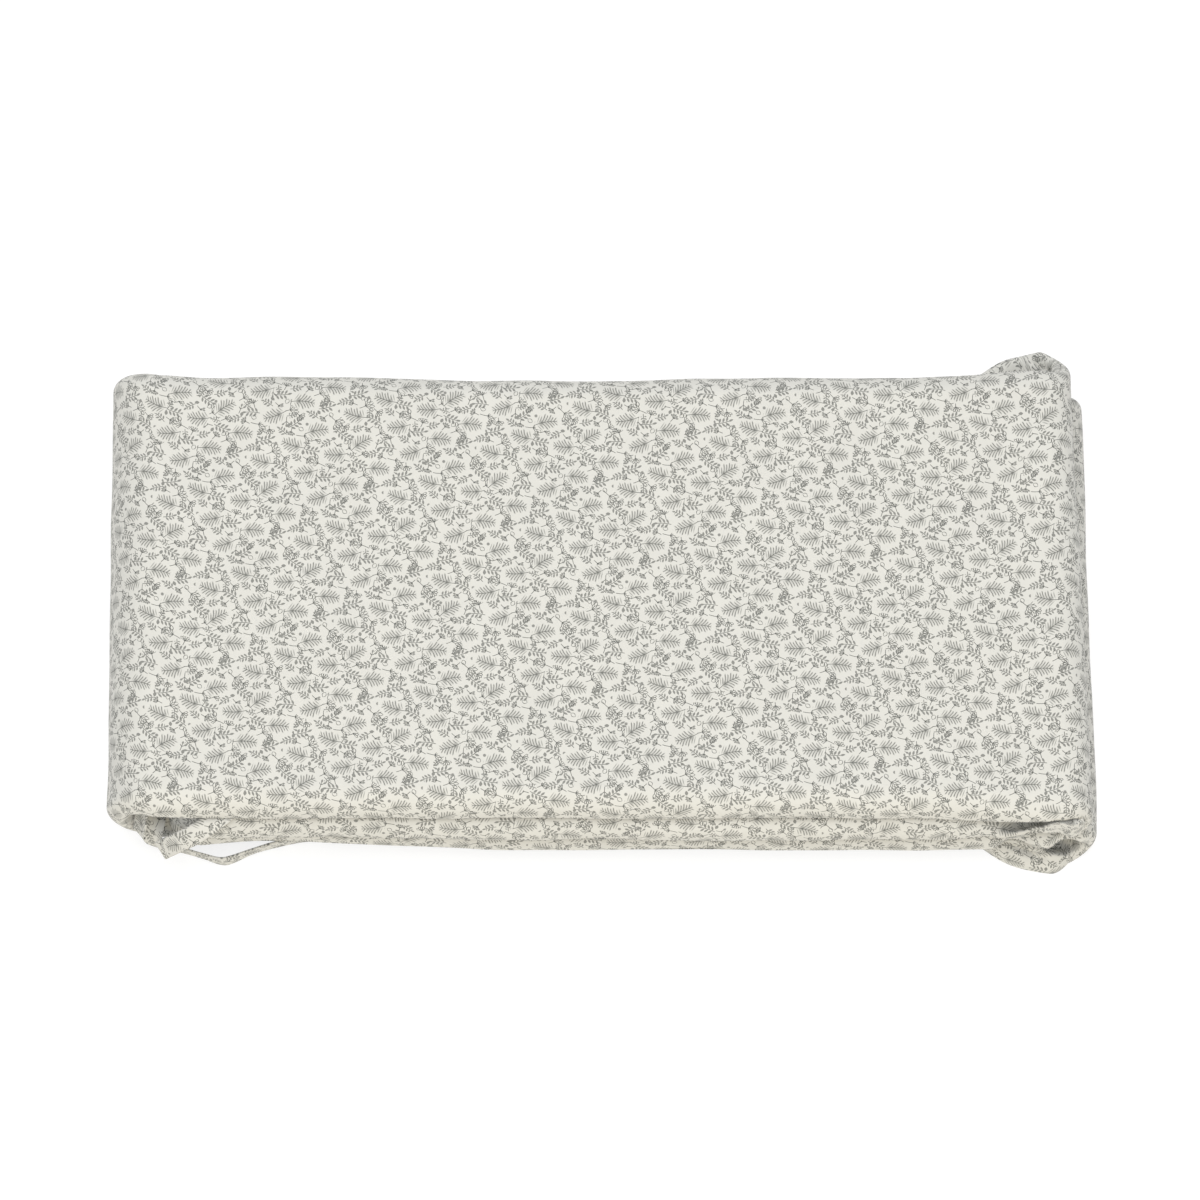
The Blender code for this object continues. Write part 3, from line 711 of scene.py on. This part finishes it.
@dataclass
class PaddedStrip:
    """The whole bumper: one filled strip, lofted along its folded path and then creased."""

    stack_width: float = 0.6035
    thickness: float = 0.0190
    layer_gap: float = 0.0018
    seam_thickness: float = 0.0012
    edge_round: float = 0.016
    edge_sag: float = 0.85               # of an edge, as a share of half the thickness
    sag_drawn_in: float = 0.30           # an edge is drawn in by this share of its sag
    fold_round: float = 0.007
    end_corner_round: float = 0.022
    left_fold_reach: float = 0.030
    left_fold_thickness: float = 0.015
    left_taper: float = 0.030
    left_drawn_in: tuple[float, float] = (0.0040, -0.0045)       # at the front and at the back
    right_fold_reach: float = 0.0175
    right_fold_thickness: float = 0.010
    right_taper: float = 0.060
    high_drawn_in: tuple[float, float] = (0.0040, 0.0040)
    low_drawn_in: tuple[float, float] = (0.0060, 0.0)
    loose_end_inset: float = 0.037
    layer_steps: int = 150
    big_fold_steps: int = 40
    small_fold_steps: int = 28
    edge_steps: int = 15
    middle_steps: int = 40
    end_crowding: float = 0.80           # of the cross-sections towards both ends of a layer, from 0 to 1
    edge_crowding: float = 0.85          # of the columns towards both edges
    wrap_thickness: float = 0.0006       # of the front edge, where the cotton wraps round without a seam
    ripple_twist: float = 90.0           # radians a metre of height, so that no two layers ripple alike
    fill: float = 0.55                   # how full the pad is, from 0 to 1

    def __post_init__(self) -> None:
        """Work out the places that follow from the sizes."""
        self.pitch = self.thickness + self.layer_gap
        self.left_turn = -self.stack_width / 2 + self.left_fold_reach
        self.right_turn = self.stack_width / 2 - self.right_fold_reach
        self.loose_end = -self.stack_width / 2 + self.loose_end_inset

    def edge_line(self, part: Part, side: str, x: float) -> float:
        """Return Y of an edge of a layer.

        Args:
            part: The layer.
            side: Its front or back.
            x: Where along the stack.
        """
        line = getattr(LAYERS[part], side)
        for swell in SWELLS:
            if (swell.layer, swell.side) == (part, side):
                reach = swell.left_reach if x < swell.centre else swell.right_reach
                line += swell.amount * ease(1 - abs(x - swell.centre) / reach)
        return line

    def layer_station(self, part: Part, x: float) -> Station:
        """Return a cross-section of a layer.

        Args:
            part: The layer.
            x: Where along the stack, between the layer's two turns.

        Returns:
            The cross-section, thinner near a fold and rounded off at a loose end.
        """
        layer = LAYERS[part]
        loose = part in (Part.UPPER, Part.LOWER)
        drop = self.thickness - self.right_fold_thickness
        thinned = ease(1 - (self.right_turn - x) / self.right_taper) * drop
        if not loose:
            drop = self.thickness - self.left_fold_thickness
            thinned += ease(1 - (x - self.left_turn) / self.left_taper) * drop
        round_off = self.end_corner_round
        end_distance = x - self.loose_end if loose else round_off
        corner = max(0.0, round_off - end_distance)
        inset = round_off - math.sqrt(round_off ** 2 - corner ** 2)
        unfilled = max(0.0, 1 - end_distance / self.edge_round)
        share = ease((x - self.left_turn) / (self.right_turn - self.left_turn))
        up = layer.folds_up
        return Station(
            part=part,
            x=x,
            z=layer.rank * self.pitch + self.thickness / 2 + (-thinned if up else thinned) / 2,
            along=(1.0, 0.0) if up else (-1.0, 0.0),
            thickness=self.thickness - thinned,
            front=self.edge_line(part, "front", x) + inset,
            back=self.edge_line(part, "back", x) - inset,
            front_set=share * layer.front_set,
            back_set=share * layer.back_set,
            end_fill=math.sqrt(1 - unfilled ** 2),
            edge_round=self.edge_round,
        )

    def layer_stations(self, part: Part) -> list[Station]:
        """Return the cross-sections of a layer from left to right, closer together towards both ends."""
        left = self.loose_end if part in (Part.UPPER, Part.LOWER) else self.left_turn
        shares = []
        for step in range(self.layer_steps + 1):
            even = step / self.layer_steps
            shares.append(mix(even, (1 - math.cos(math.pi * even)) / 2, self.end_crowding))
        return [self.layer_station(part, mix(left, self.right_turn, share)) for share in shares]

    def fold_stations(
        self,
        part: Part,
        start: Station,
        finish: Station,
        reach: float,
        steps: int,
        drawn_in: tuple[float, float],
    ) -> list[Station]:
        """Return the cross-sections round a fold, whose path is half an ellipse.

        Args:
            part: Which fold this is.
            start: The cross-section that the fold leaves.
            finish: The one that it joins.
            reach: Of its outside, positive to the right and negative to the left.
            steps: How many steps it takes.
            drawn_in: How far its front edge and its back edge draw in on the way round.

        Returns:
            The cross-sections between start and finish.
        """
        half_rise = (finish.z - start.z) / 2
        half_width = reach - math.copysign(start.thickness / 2, reach)
        stations = []
        for step in range(1, steps):
            angle = math.pi * step / steps
            share = ease(step / steps)
            along = Vector((half_width * math.cos(angle), half_rise * math.sin(angle))).normalized()
            stations.append(
                start._replace(
                    part=part,
                    x=start.x + half_width * math.sin(angle),
                    z=start.z + half_rise * (1 - math.cos(angle)),
                    along=(along.x, along.y),
                    front=mix(start.front, finish.front, share) + drawn_in[0] * math.sin(angle),
                    back=mix(start.back, finish.back, share) - drawn_in[1] * math.sin(angle),
                    edge_round=mix(self.edge_round, self.fold_round, math.sin(angle)),
                    front_set=mix(start.front_set, finish.front_set, share),
                    back_set=mix(start.back_set, finish.back_set, share),
                )
            )
        return stations

    def stations(self) -> list[Station]:
        """Return every cross-section, from the loose end in the upper layer to that in the lower one."""
        upper = self.layer_stations(Part.UPPER)
        top = self.layer_stations(Part.TOP)[::-1]
        bottom = self.layer_stations(Part.BOTTOM)
        lower = self.layer_stations(Part.LOWER)[::-1]
        right, left = self.right_fold_reach, -self.left_fold_reach
        small, big = self.small_fold_steps, self.big_fold_steps
        high_fold = self.fold_stations(Part.HIGH_FOLD, upper[-1], top[0], right, small, self.high_drawn_in)
        big_fold = self.fold_stations(Part.BIG_FOLD, top[-1], bottom[0], left, big, self.left_drawn_in)
        low_fold = self.fold_stations(Part.LOW_FOLD, bottom[-1], lower[0], right, small, self.low_drawn_in)
        return upper + high_fold + top + big_fold + bottom + low_fold + lower

    def columns(self) -> np.ndarray:
        """Return the columns of a cross-section from front to back.

        Returns:
            One row a column: its distance from the edge in edge rounds, its share of the middle, and its
            share of the half thickness.
        """
        angles = [math.pi / 2 * step / self.edge_steps for step in range(self.edge_steps + 1)]
        front = [(1 - math.cos(angle), 0.0, math.sin(angle)) for angle in angles]
        middle = []
        for step in range(1, self.middle_steps):
            even = step / self.middle_steps
            middle.append((1.0, mix(even, (1 - math.cos(math.pi * even)) / 2, self.edge_crowding), 1.0))
        back = [(distance, 1.0, fill) for distance, _, fill in reversed(front)]
        return np.array(front + middle + back)

    def rings(self, path: list[Station]) -> np.ndarray:
        """Return the points of every closed cross-section.

        Args:
            path: The cross-sections.

        Returns:
            An array of stations by points by 3. Each ring runs over its inner side from back to front, then
            over its outer side from front to back.
        """
        columns = self.columns()
        distance, middle, fill = (columns[:, index][None, :] for index in range(3))

        def of(name: str) -> np.ndarray:
            """Return one value of every cross-section, as a column."""
            return np.array([getattr(station, name) for station in path])[:, None]

        sag = self.edge_sag * of("thickness") / 2
        front, back = of("front") + self.sag_drawn_in * sag, of("back") - self.sag_drawn_in * sag
        from_front = front + distance * of("edge_round")
        from_back = back - distance * of("edge_round")
        y = from_front + (from_back - from_front) * middle
        across = (y - front) / (back - front)
        full = of("thickness") / 2 * fill * of("end_fill")
        seam = np.where(across < 0.5, self.wrap_thickness / 2, self.seam_thickness / 2)
        half = np.maximum(seam, full)
        x = of("x") + of("front_set") + (of("back_set") - of("front_set")) * across
        z = of("z") - sag * (1 - fill)
        along = np.array([station.along for station in path])
        normal = np.stack((-along[:, 1], np.zeros(len(path)), along[:, 0]), axis=1)[:, None, :]
        place = np.stack(np.broadcast_arrays(x, y, z), axis=2)
        near = place + normal * half[:, :, None]
        far = place - normal * half[:, :, None]
        return np.concatenate((near[:, ::-1], far), axis=1)

    def cloth_places(self, rings: np.ndarray) -> np.ndarray:
        """Return each point's place on the flat cloth.

        Args:
            rings: The points of the cross-sections.

        Returns:
            Stations by points + 1 by 2. The first number runs along the strip over its outer side, and the
            second across it from the front edge. The extra point closes the seam.
        """
        count = rings.shape[1]
        middle = rings[:, 3 * count // 4]
        run = np.concatenate(([0.0], np.cumsum(np.linalg.norm(np.diff(middle, axis=0), axis=1))))
        closed = np.concatenate((rings, rings[:, :1]), axis=1)
        typical = np.linalg.norm(np.diff(closed, axis=1), axis=2)
        around = np.concatenate((np.zeros((len(rings), 1)), np.cumsum(typical, axis=1)), axis=1)
        around -= around[:, count // 2 - 1:count // 2]
        return np.stack(np.broadcast_arrays(run[:, None], around), axis=2)

    def normals(self, rings: np.ndarray) -> np.ndarray:
        """Return the outward direction at every point of the cross-sections."""
        along = np.gradient(rings, axis=0)
        around = np.roll(rings, -1, axis=1) - np.roll(rings, 1, axis=1)
        out = np.cross(around, along)
        return out / np.maximum(np.linalg.norm(out, axis=2, keepdims=True), 1e-12)

    def soften(self, path: list[Station], rings: np.ndarray) -> np.ndarray:
        """Move the cloth into its slight unevenness and its main creases.

        Args:
            path: The cross-sections.
            rings: Their points.

        Returns:
            The points, moved.
        """
        out = self.normals(rings)
        x, y, z = rings[:, :, 0], rings[:, :, 1], rings[:, :, 2]
        rise = np.zeros_like(x)
        for ripple in RIPPLES:
            turns = x / ripple.length_x + y / ripple.length_y
            rise += ripple.height * np.sin(2 * math.pi * turns + ripple.phase + z * self.ripple_twist)
        moved = rings + out * rise[:, :, None]
        fill = self.columns()[:, 2]
        innerness = np.concatenate((0.5 + 0.5 * fill[::-1], 0.5 - 0.5 * fill))
        for shaping in SHAPINGS:
            moved = shaping.shape(moved, out, shaping.share(path, rings, innerness))
        return moved

    def build(self) -> bpy.types.Object:
        """Return the strip's object, with its map of the flat cloth."""
        path = self.stations()
        rings = self.rings(path)
        points = self.soften(path, rings) - np.array(BOX_CENTRE)
        places = self.cloth_places(points)
        stations, count = rings.shape[:2]
        faces, maps = [], []
        for row in range(stations - 1):
            for column in range(count):
                beside = (column + 1) % count
                faces.append((row * count + column, row * count + beside,
                              (row + 1) * count + beside, (row + 1) * count + column))
                maps += [places[row, column], places[row, column + 1],
                         places[row + 1, column + 1], places[row + 1, column]]
        half = count // 2
        for row in (0, stations - 1):
            for step in range(half - 1):
                inner, outer = half - 1 - step, half + step
                faces.append(tuple(row * count + index for index in (inner, inner - 1, outer + 1, outer)))
                maps += [places[row, index] for index in (inner, inner - 1, outer + 1, outer)]
        mesh = bpy.data.meshes.new("padded_bumper")
        mesh.from_pydata(points.reshape(-1, 3).tolist(), [], faces)
        layer = mesh.uv_layers.new(name=CLOTH_MAP)
        layer.data.foreach_set("uv", np.array(maps, dtype=np.float32).ravel())
        shape = bmesh.new()
        shape.from_mesh(mesh)
        bmesh.ops.recalc_face_normals(shape, faces=shape.faces)
        shape.to_mesh(mesh)
        shape.free()
        mesh.shade_smooth()
        strip = bpy.data.objects.new("padded_bumper", mesh)
        bpy.context.scene.collection.objects.link(strip)
        return strip

    def dress(self, strip: bpy.types.Object, cotton: bpy.types.Material) -> None:
        """Args:
            strip: The strip's object.
            cotton: Its material.
        """
        strip.data.materials.append(cotton)
        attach(strip, BODY)
        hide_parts("padded_strip")


# ---- the ties ---------------------------------------------------------------------------------------------


class TiePoint(NamedTuple):
    """A row of a tie's route: a point on its middle line, which way its width runs, and its sag."""

    x: float
    y: float
    z: float
    width_x: float
    width_y: float
    width_z: float
    arch: float              # how far both its edges hang below its middle


HANGING_ROUTE = (
    TiePoint(-0.2657, -0.1190, 0.0511, 0.00, 1.00, 0.00, 0.0000),
    TiePoint(-0.2715, -0.1195, 0.0520, -0.03, 1.00, 0.00, 0.0000),
    TiePoint(-0.2765, -0.1215, 0.0515, -0.20, 0.95, -0.10, 0.0003),
    TiePoint(-0.2793, -0.1270, 0.0470, -0.40, 0.85, -0.25, 0.0005),
    TiePoint(-0.2810, -0.1340, 0.0385, -0.52, 0.76, -0.38, 0.0005),
    TiePoint(-0.2823, -0.1395, 0.0305, -0.54, 0.74, -0.40, 0.0003),
)
FREE_ROUTE = (
    TiePoint(-0.1900, -0.1080, 0.06147, 0.45, -0.88, 0.00, 0.0000),
    TiePoint(-0.2150, -0.1230, 0.06147, 0.45, -0.88, 0.00, 0.0000),
    TiePoint(-0.2306, -0.1365, 0.0615, 0.42, -0.90, -0.02, 0.0002),
    TiePoint(-0.2405, -0.1436, 0.0593, 0.36, -0.82, -0.38, 0.0012),
    TiePoint(-0.2500, -0.1484, 0.0540, 0.34, -0.74, -0.55, 0.0012),
    TiePoint(-0.2595, -0.1500, 0.0450, 0.40, -0.74, -0.52, 0.0006),
    TiePoint(-0.2694, -0.1500, 0.0300, 0.46, -0.76, -0.45, 0.0002),
)
LOOPED_ROUTE = (
    TiePoint(-0.2715, -0.1120, 0.0303, -1.00, 0.00, 0.00, 0.0000),
    TiePoint(-0.2717, -0.1220, 0.0318, -1.00, 0.00, 0.05, 0.0003),
    TiePoint(-0.2726, -0.1305, 0.0300, -0.92, 0.25, -0.25, 0.0005),
    TiePoint(-0.2740, -0.1360, 0.0245, -0.84, 0.25, -0.45, 0.0005),
    TiePoint(-0.2745, -0.1392, 0.0175, -0.84, 0.10, -0.50, 0.0003),
    TiePoint(-0.2708, -0.1400, 0.0115, -0.62, 0.05, -0.78, 0.0000),
    TiePoint(-0.2625, -0.1412, 0.0076, -0.22, 0.05, -0.97, 0.0000),
    TiePoint(-0.2540, -0.1432, 0.0067, 0.00, 0.08, -0.98, 0.0003),
    TiePoint(-0.2430, -0.1462, 0.0066, 0.00, 0.08, -0.98, 0.0006),
    TiePoint(-0.2337, -0.1492, 0.0066, 0.00, 0.00, -0.99, 0.0004),
    TiePoint(-0.2270, -0.1492, 0.0066, 0.00, -0.05, -0.99, -0.0004),
    TiePoint(-0.2137, -0.1440, 0.0066, 0.00, 0.08, -0.98, -0.0006),
    TiePoint(-0.2010, -0.1398, 0.0066, 0.00, 0.05, -0.98, -0.0004),
    TiePoint(-0.1851, -0.1355, 0.0066, 0.00, 0.00, -1.00, 0.0000),
    TiePoint(-0.1700, -0.1340, 0.0066, 0.00, 0.00, -1.00, 0.0000),
)


@dataclass
class Tie:
    """A narrow tape of the same cotton, folded and topstitched, along its route."""

    name: str
    node: str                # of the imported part
    route: tuple[TiePoint, ...]
    held: str                # how it is held: hung or laid
    rests_on: tuple[str, ...] = ()
    width: float = 0.0125
    thickness: float = 0.0012
    steps: int = 16          # from one row of the route to the next
    columns: int = 12        # across its width
    print_shift: float = 0.0     # along the print, so that no two ties show the same motifs

    def between(self, index: int, share: float) -> Vector:
        """Return a point of the smooth curve through the route.

        Args:
            index: The row before the point.
            share: How far the point lies towards the next row, from 0 to 1.

        Returns:
            The seven values of a row, at that point.
        """
        last = len(self.route) - 1
        before, start, finish, after = (
            Vector(self.route[min(last, max(0, index + step))]) for step in (-1, 0, 1, 2)
        )
        leave, arrive = (finish - before) / 2, (after - start) / 2
        square, cube = share ** 2, share ** 3
        return (
            start * (2 * cube - 3 * square + 1)
            + leave * (cube - 2 * square + share)
            + finish * (3 * square - 2 * cube)
            + arrive * (cube - square)
        )

    def build(self) -> bpy.types.Object:
        """Return the tie's object, with its map of the flat cloth."""
        count = (len(self.route) - 1) * self.steps
        places = [self.between(step // self.steps, step % self.steps / self.steps) for step in range(count)]
        places.append(Vector(self.route[-1]))
        shape = bmesh.new()
        cloth_map = shape.loops.layers.uv.new(CLOTH_MAP)
        lines, runs, run = [], [], 0.0
        shares = [2 * column / self.columns - 1 for column in range(self.columns + 1)]
        for index, place in enumerate(places):
            middle = Vector(place[:3])
            behind = Vector(places[max(0, index - 1)][:3])
            ahead = Vector(places[min(count, index + 1)][:3])
            along = (ahead - behind).normalized()
            width = Vector(place[3:6])
            width = (width - along * width.dot(along)).normalized()
            out = width.cross(along)
            points = [middle + width * (u * self.width / 2) + out * (place[6] * u * u) for u in shares]
            lines.append([shape.verts.new(point - BOX_CENTRE) for point in points])
            run += (middle - behind).length
            runs.append(run)
        self.length = run
        for row in range(count):
            for column in range(self.columns):
                corners = ((row, column), (row, column + 1), (row + 1, column + 1), (row + 1, column))
                face = shape.faces.new([lines[a][b] for a, b in corners])
                for loop, (a, b) in zip(face.loops, corners):
                    loop[cloth_map].uv = (self.print_shift + runs[a], shares[b] * self.width / 2)
        mesh = bpy.data.meshes.new(self.name)
        shape.to_mesh(mesh)
        shape.free()
        mesh.shade_smooth()
        tie = bpy.data.objects.new(self.name, mesh)
        bpy.context.scene.collection.objects.link(tie)
        tape = tie.modifiers.new("tape_thickness", "SOLIDIFY")
        tape.thickness = self.thickness
        tape.offset = 0.0
        tape.use_even_offset = True
        return tie

    def dress(self, tie: bpy.types.Object, cotton: bpy.types.Material) -> None:
        """Args:
            tie: The tie's object.
            cotton: Its material.
        """
        tie.data.materials.append(cotton)
        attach(tie, BODY)
        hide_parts(self.node)


# ---- floor, light and camera ------------------------------------------------------------------------------


class Lamp(NamedTuple):
    """A square soft light that faces the bumper."""

    name: str
    place: tuple[float, float, float]
    size: float              # of its side
    watts: float
    colour: tuple[float, float, float]


LAMPS = (
    Lamp("key", (-0.15, 0.0, 3.5), 2.6, 90.0, (1.0, 1.0, 1.0)),
    Lamp("warm_fill", (0.1, -3.0, 1.1), 1.8, 30.0, (1.0, 0.87, 0.60)),
)


@dataclass
class Studio:
    """A pale floor, even light from above with a warm fill from the front, and the camera."""

    elevation: float = 72.0              # degrees above the horizon
    distance: float = 7.0
    lens: float = 341.4                  # millimetres
    sensor: float = 36.0                 # millimetres
    aim: tuple[float, float, float] = (-0.0017, 0.0016, 0.040)
    floor_size: float = 12.0
    floor_drop: float = 0.0006           # under the bumper, so that the two faces don't flicker
    floor_grey: float = 0.25
    floor_roughness: float = 0.8
    floor_specular: float = 0.1
    table_glow: float = 0.78             # of the white table, which is lit from below as well
    sky_strength: float = 0.66

    def floor(self) -> None:
        """Make the floor that the bumper lies on."""
        bpy.ops.object.select_all(action="DESELECT")
        bpy.ops.mesh.primitive_plane_add(size=self.floor_size, location=(0.0, 0.0, -self.floor_drop))
        floor = bpy.context.object
        floor.name = "floor"
        material = bpy.data.materials.new("pale_floor")
        material.use_nodes = True
        shader = material.node_tree.nodes["Principled BSDF"]
        shader.inputs["Base Color"].default_value = (self.floor_grey,) * 3 + (1.0,)
        shader.inputs["Roughness"].default_value = self.floor_roughness
        shader.inputs["Specular IOR Level"].default_value = self.floor_specular
        shader.inputs["Emission Color"].default_value = WHITE
        shader.inputs["Emission Strength"].default_value = self.table_glow
        floor.data.materials.append(material)

    def light(self, lamp: Lamp) -> None:
        """Make one of the lights.

        Args:
            lamp: Its row of the table.
        """
        area = bpy.data.lights.new(lamp.name, "AREA")
        area.size = lamp.size
        area.energy = lamp.watts
        area.color = lamp.colour
        holder = bpy.data.objects.new(lamp.name, area)
        holder.location = lamp.place
        holder.rotation_euler = (-Vector(lamp.place)).to_track_quat("-Z", "Y").to_euler()
        bpy.context.scene.collection.objects.link(holder)

    def sky(self) -> None:
        """Fill the room with even white light."""
        world = bpy.data.worlds.new("studio")
        world.use_nodes = True
        background = world.node_tree.nodes["Background"]
        background.inputs["Color"].default_value = WHITE
        background.inputs["Strength"].default_value = self.sky_strength
        bpy.context.scene.world = world

    def camera(self) -> None:
        """Set up the camera at the photograph's angle."""
        tilt = math.radians(self.elevation)
        lens = bpy.data.cameras.new("camera")
        lens.lens = self.lens
        lens.sensor_width = self.sensor
        lens.clip_end = 50.0
        holder = bpy.data.objects.new("camera", lens)
        away = Vector((0.0, -math.cos(tilt), math.sin(tilt))) * self.distance
        holder.location = Vector(self.aim) + away
        holder.rotation_euler = (math.pi / 2 - tilt, 0.0, 0.0)
        bpy.context.scene.collection.objects.link(holder)
        bpy.context.scene.camera = holder

    def build(self) -> None:
        """Make everything round the bumper."""
        bpy.context.scene.view_settings.view_transform = "Standard"
        self.camera()
        self.floor()
        self.sky()
        for lamp in LAMPS:
            self.light(lamp)


def main() -> None:
    """Build the bumper and its setting."""
    logging.basicConfig(level=logging.INFO, format="%(name)s: %(message)s")
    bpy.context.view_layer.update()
    Studio().build()
    printed = PrintedCotton().material("printed_cotton")
    bumper = PaddedStrip()
    strip = bumper.build()
    bumper.dress(strip, printed)
    LOG.info("%s: %d faces", strip.name, len(strip.data.polygons))
    tie_cotton = PrintedCotton().material("tie_cotton")
    for tie in (
        Tie("hanging_tie", "tie_hanging", HANGING_ROUTE, "hung", ("padded_bumper",), print_shift=0.3),
        Tie("free_tie", "tie_free", FREE_ROUTE, "laid", ("padded_bumper",), print_shift=0.5),
        Tie("looped_tie", "tie_looped", LOOPED_ROUTE, "laid", ("padded_bumper",), print_shift=0.8),
    ):
        tape = tie.build()
        tie.dress(tape, tie_cotton)
        LOG.info("%s: %.3f m long", tape.name, tie.length)


if __name__ == "__main__":
    main()
